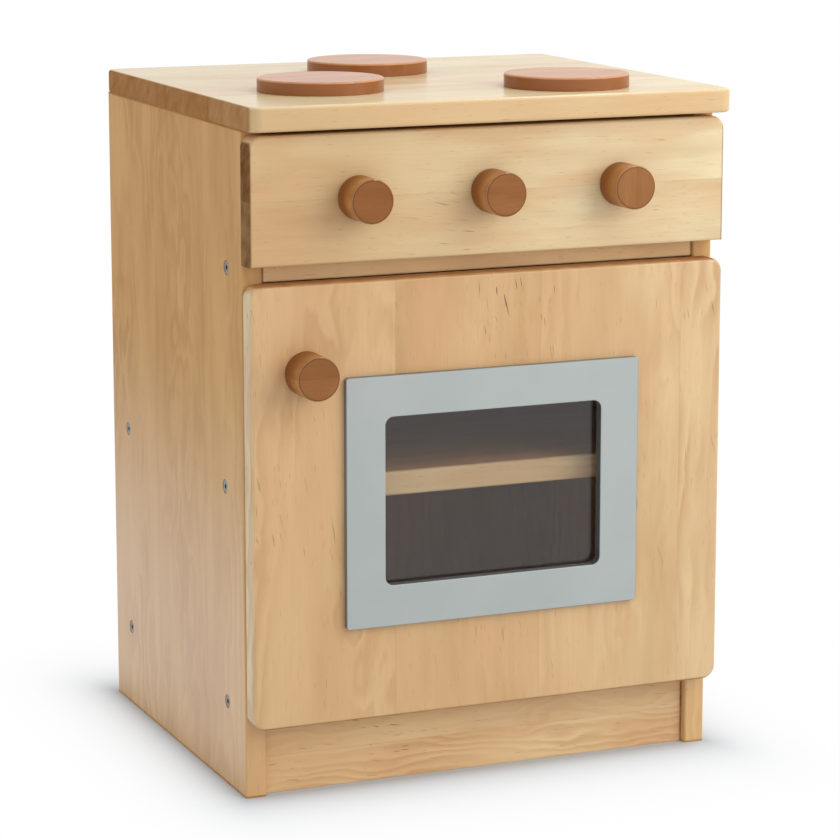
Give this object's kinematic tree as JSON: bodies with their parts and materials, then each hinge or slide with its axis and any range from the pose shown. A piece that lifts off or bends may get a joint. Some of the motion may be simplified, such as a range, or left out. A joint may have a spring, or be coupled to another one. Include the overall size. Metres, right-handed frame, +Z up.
{
  "type": "toy oven",
  "caption": "Child's wooden play oven: box case with fixed shelf, hinged door with framed window and knob, turning control knobs and burner discs on top.",
  "frame": {"origin": "on the floor, at the centre of the whole stove's box seen from above, knobs and hinges included", "axes": "+Z up; -Y is the front with the door and knobs; +X is to the right seen from the front, where the door is hinged"},
  "size_m": [0.459, 0.4228, 0.621],
  "materials": {
    "maple": "clear satin lacquer on maple-faced board",
    "plywood": "thin birch plywood, lightly lacquered",
    "stained_wood": "reddish-brown stained hardwood, satin",
    "silver_lacquer": "matt silver-grey lacquer",
    "smoked_acrylic": "dark smoked clear sheet",
    "steel": "zinc-plated",
    "nylon": "white nylon",
    "rubber": "dark soft rubber"
  },
  "bodies": {
    "case": {"top_panel": "maple", "side_panel_left": "maple", "side_panel_right": "maple", "back_panel": "plywood", "floor_panel": "maple", "oven_shelf": "maple", "toe_kick": "maple", "front_rail": "maple", "top_cleat_left": "maple", "top_cleat_right": "maple", "panel_block_left": "maple", "panel_block_right": "maple", "kick_block_left": "maple", "kick_block_right": "maple", "connector_bolts_left": "steel", "connector_bolts_right": "steel", "barrel_nuts_left": "steel", "barrel_nuts_right": "steel", "cleat_screws": "steel", "panel_block_screws": "steel", "kick_block_screws": "steel", "back_screws": "steel", "burner_front_left": "stained_wood", "burner_back": "stained_wood", "burner_front_right": "stained_wood", "burner_screws": "steel", "control_panel": "maple", "knob_front_washers": "nylon", "knob_rear_washers": "steel", "hinge_side_leaf_upper": "steel", "hinge_side_leaf_lower": "steel", "hinge_pin_upper": "steel", "hinge_pin_lower": "steel", "hinge_side_screws": "steel", "magnetic_catch": "nylon", "catch_screws": "steel"},
    "door": {"door_panel": "maple", "window_frame": "silver_lacquer", "window_pane": "smoked_acrylic", "frame_screws": "steel", "door_knob": "stained_wood", "door_knob_screw": "steel", "door_bumpers": "rubber", "hinge_door_leaf_upper": "steel", "hinge_door_leaf_lower": "steel", "hinge_door_screws": "steel", "strike_plate": "steel", "strike_screw": "steel"},
    "knob_left": {"control_knob_left": "stained_wood", "knob_spindle_left": "steel", "knob_locknut_left": "steel"},
    "knob_middle": {"control_knob_middle": "stained_wood", "knob_spindle_middle": "steel", "knob_locknut_middle": "steel"},
    "knob_right": {"control_knob_right": "stained_wood", "knob_spindle_right": "steel", "knob_locknut_right": "steel"}
  },
  "joints": [
    {"name": "door_hinge", "type": "hinge", "parent": "case", "child": "door", "pos_m": [0.2265, -0.1583, 0.261], "axis": [0, 0, 1], "range_deg": [0, 180]},
    {"name": "knob_left_turn", "type": "hinge", "parent": "case", "child": "knob_left", "pos_m": [-0.128, -0.17805, 0.52775], "axis": [0, -1, 0], "continuous": true},
    {"name": "knob_middle_turn", "type": "hinge", "parent": "case", "child": "knob_middle", "pos_m": [-0.0045, -0.17805, 0.52775], "axis": [0, -1, 0], "continuous": true},
    {"name": "knob_right_turn", "type": "hinge", "parent": "case", "child": "knob_right", "pos_m": [0.119, -0.17805, 0.52775], "axis": [0, -1, 0], "continuous": true}
  ]
}
